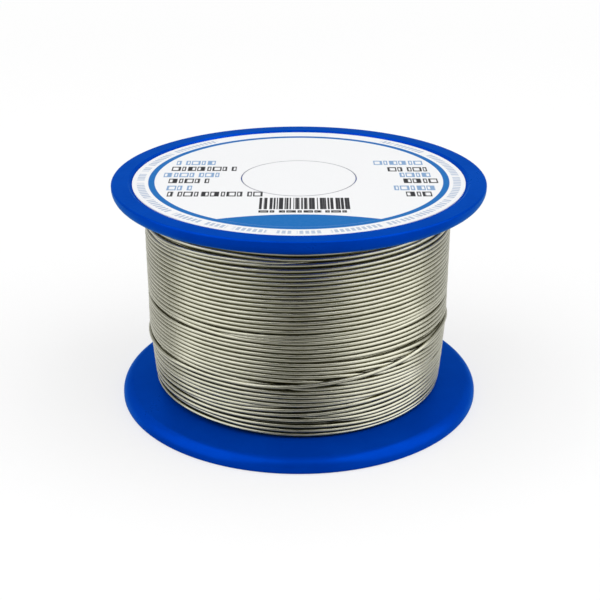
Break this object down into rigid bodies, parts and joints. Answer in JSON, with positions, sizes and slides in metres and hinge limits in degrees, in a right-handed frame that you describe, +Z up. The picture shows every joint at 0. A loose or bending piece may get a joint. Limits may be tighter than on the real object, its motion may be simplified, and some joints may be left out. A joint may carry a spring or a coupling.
{
  "type": "solder wire spool",
  "caption": "Small reel of flux-cored solder wire: snap-fit flanges on a ribbed barrel, a wound wire and a label whose centre lifts out for a spindle.",
  "frame": {"origin": "centre of the face the reel stands on, on the reel's axis", "axes": "+Z up along the reel's axis, towards the labelled flange; the wire's free end is on the +Y side, at the back"},
  "size_m": [0.06, 0.06, 0.0374],
  "materials": {
    "flange_plastic": "satin gloss blue polystyrene",
    "barrel_plastic": "satin blue polystyrene",
    "solder": "drawn tin-lead alloy, satin",
    "flux": "hard amber rosin",
    "label_paper": "coated white paper with a blue printed ring"
  },
  "bodies": {
    "reel": {"lower_flange": "flange_plastic", "upper_flange": "flange_plastic", "barrel": "barrel_plastic", "inner_wire_layers": "solder", "outer_wire_turns": "solder", "wire_start_tail": "solder", "wire_free_end": "solder", "flux_core": "flux", "label": "label_paper"},
    "label_centre": {"label_centre_disc": "label_paper"}
  },
  "joints": [
    {"name": "label_centre_lift", "type": "slide", "parent": "reel", "child": "label_centre", "axis": [0, 0, 1], "range_m": [0, 0.02]}
  ]
}
